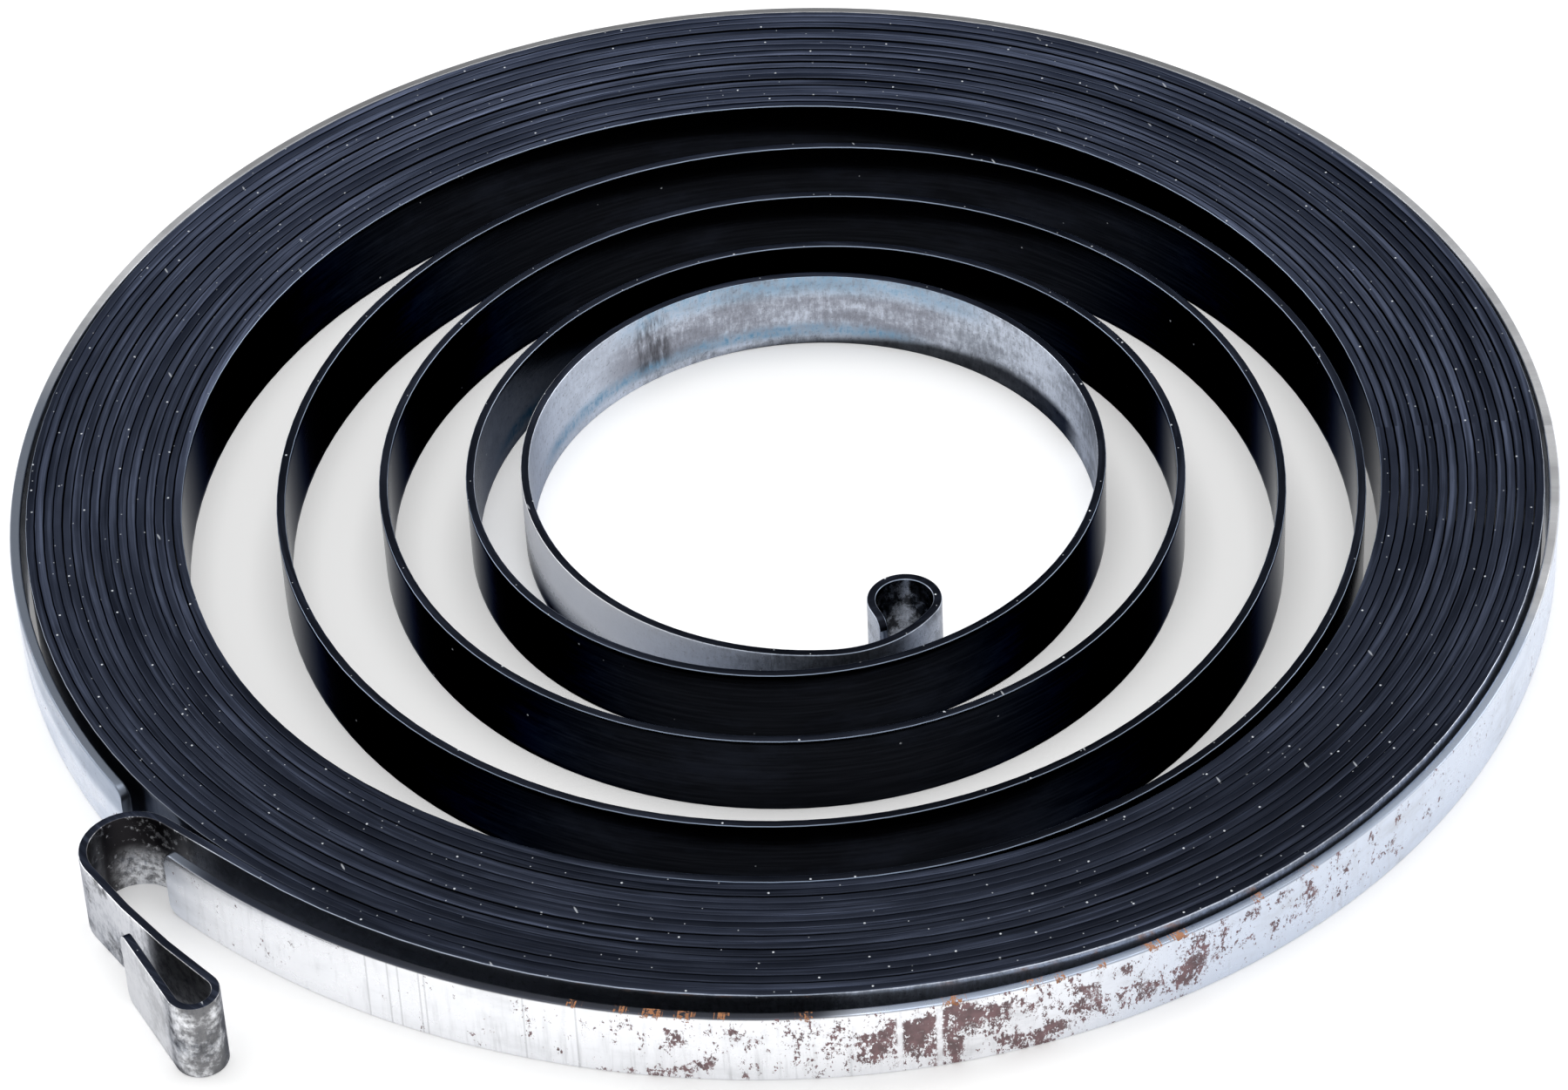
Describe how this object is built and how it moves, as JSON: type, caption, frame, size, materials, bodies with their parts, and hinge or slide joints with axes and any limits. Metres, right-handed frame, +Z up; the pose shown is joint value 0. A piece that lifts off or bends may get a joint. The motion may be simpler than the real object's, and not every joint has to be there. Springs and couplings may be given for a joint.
{
  "type": "flat spiral return spring",
  "caption": "Flat strip return spring: tight turns in a split steel ring, loose inner turns ending in a curl, and a looped outer hook.",
  "frame": {"origin": "centre of the retaining ring, in the plane that the spring rests on", "axes": "+Z up along the winding axis, +X towards the side opposite the hook, -Y towards the hook side at the front; the strip winds inwards anticlockwise seen from above"},
  "size_m": [0.082, 0.082, 0.0047],
  "materials": {
    "spring_steel": "blued, oiled",
    "ring_steel": "bright with rust spots"
  },
  "bodies": {
    "root": {"spring_strip": "spring_steel", "retaining_ring": "ring_steel"}
  },
  "joints": []
}
